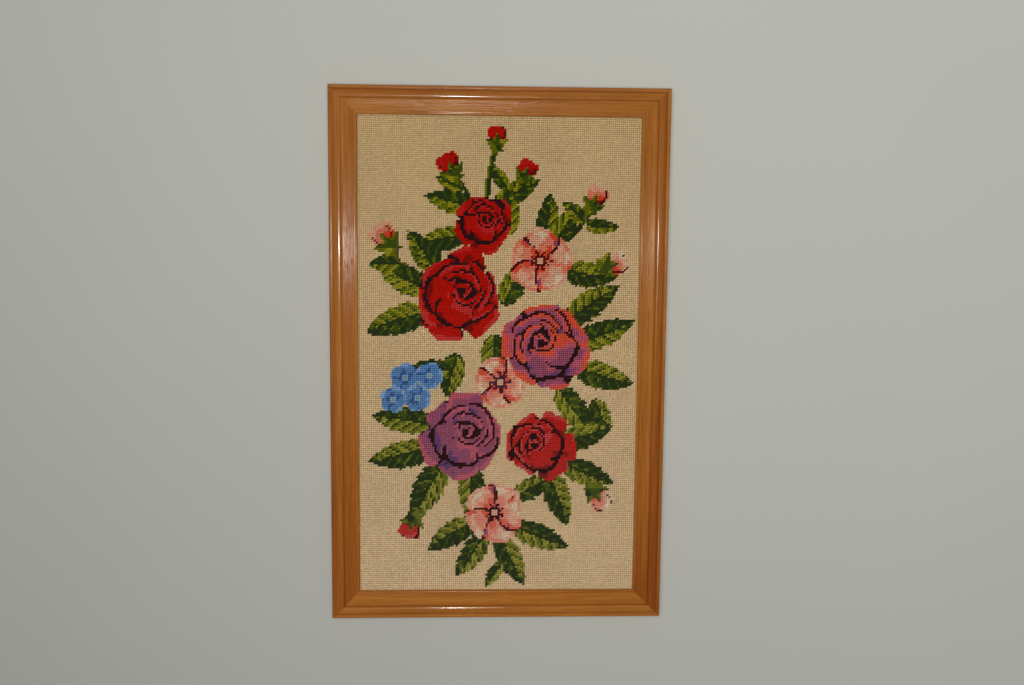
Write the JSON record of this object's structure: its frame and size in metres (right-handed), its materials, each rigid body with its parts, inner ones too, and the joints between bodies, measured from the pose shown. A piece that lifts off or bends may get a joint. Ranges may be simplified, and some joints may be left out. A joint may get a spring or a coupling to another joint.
{
  "type": "needlepoint canvas panel in a wooden frame",
  "caption": "Upright needlepoint canvas worked in tent stitch, held in the rebate of a mitred frame of varnished wood moulding.",
  "frame": {"origin": "middle of the frame's back, on the surface it lies on", "axes": "+X to the picture's right, +Y to the picture's top, +Z out of the picture's face"},
  "size_m": [0.35, 0.558, 0.0154],
  "materials": {
    "frame_wood": "glossy honey-brown varnish",
    "worked_wool": "matt wool stitches"
  },
  "bodies": {
    "root": {"frame_top": "frame_wood", "frame_bottom": "frame_wood", "frame_left": "frame_wood", "frame_right": "frame_wood", "canvas": "worked_wool"}
  },
  "joints": []
}
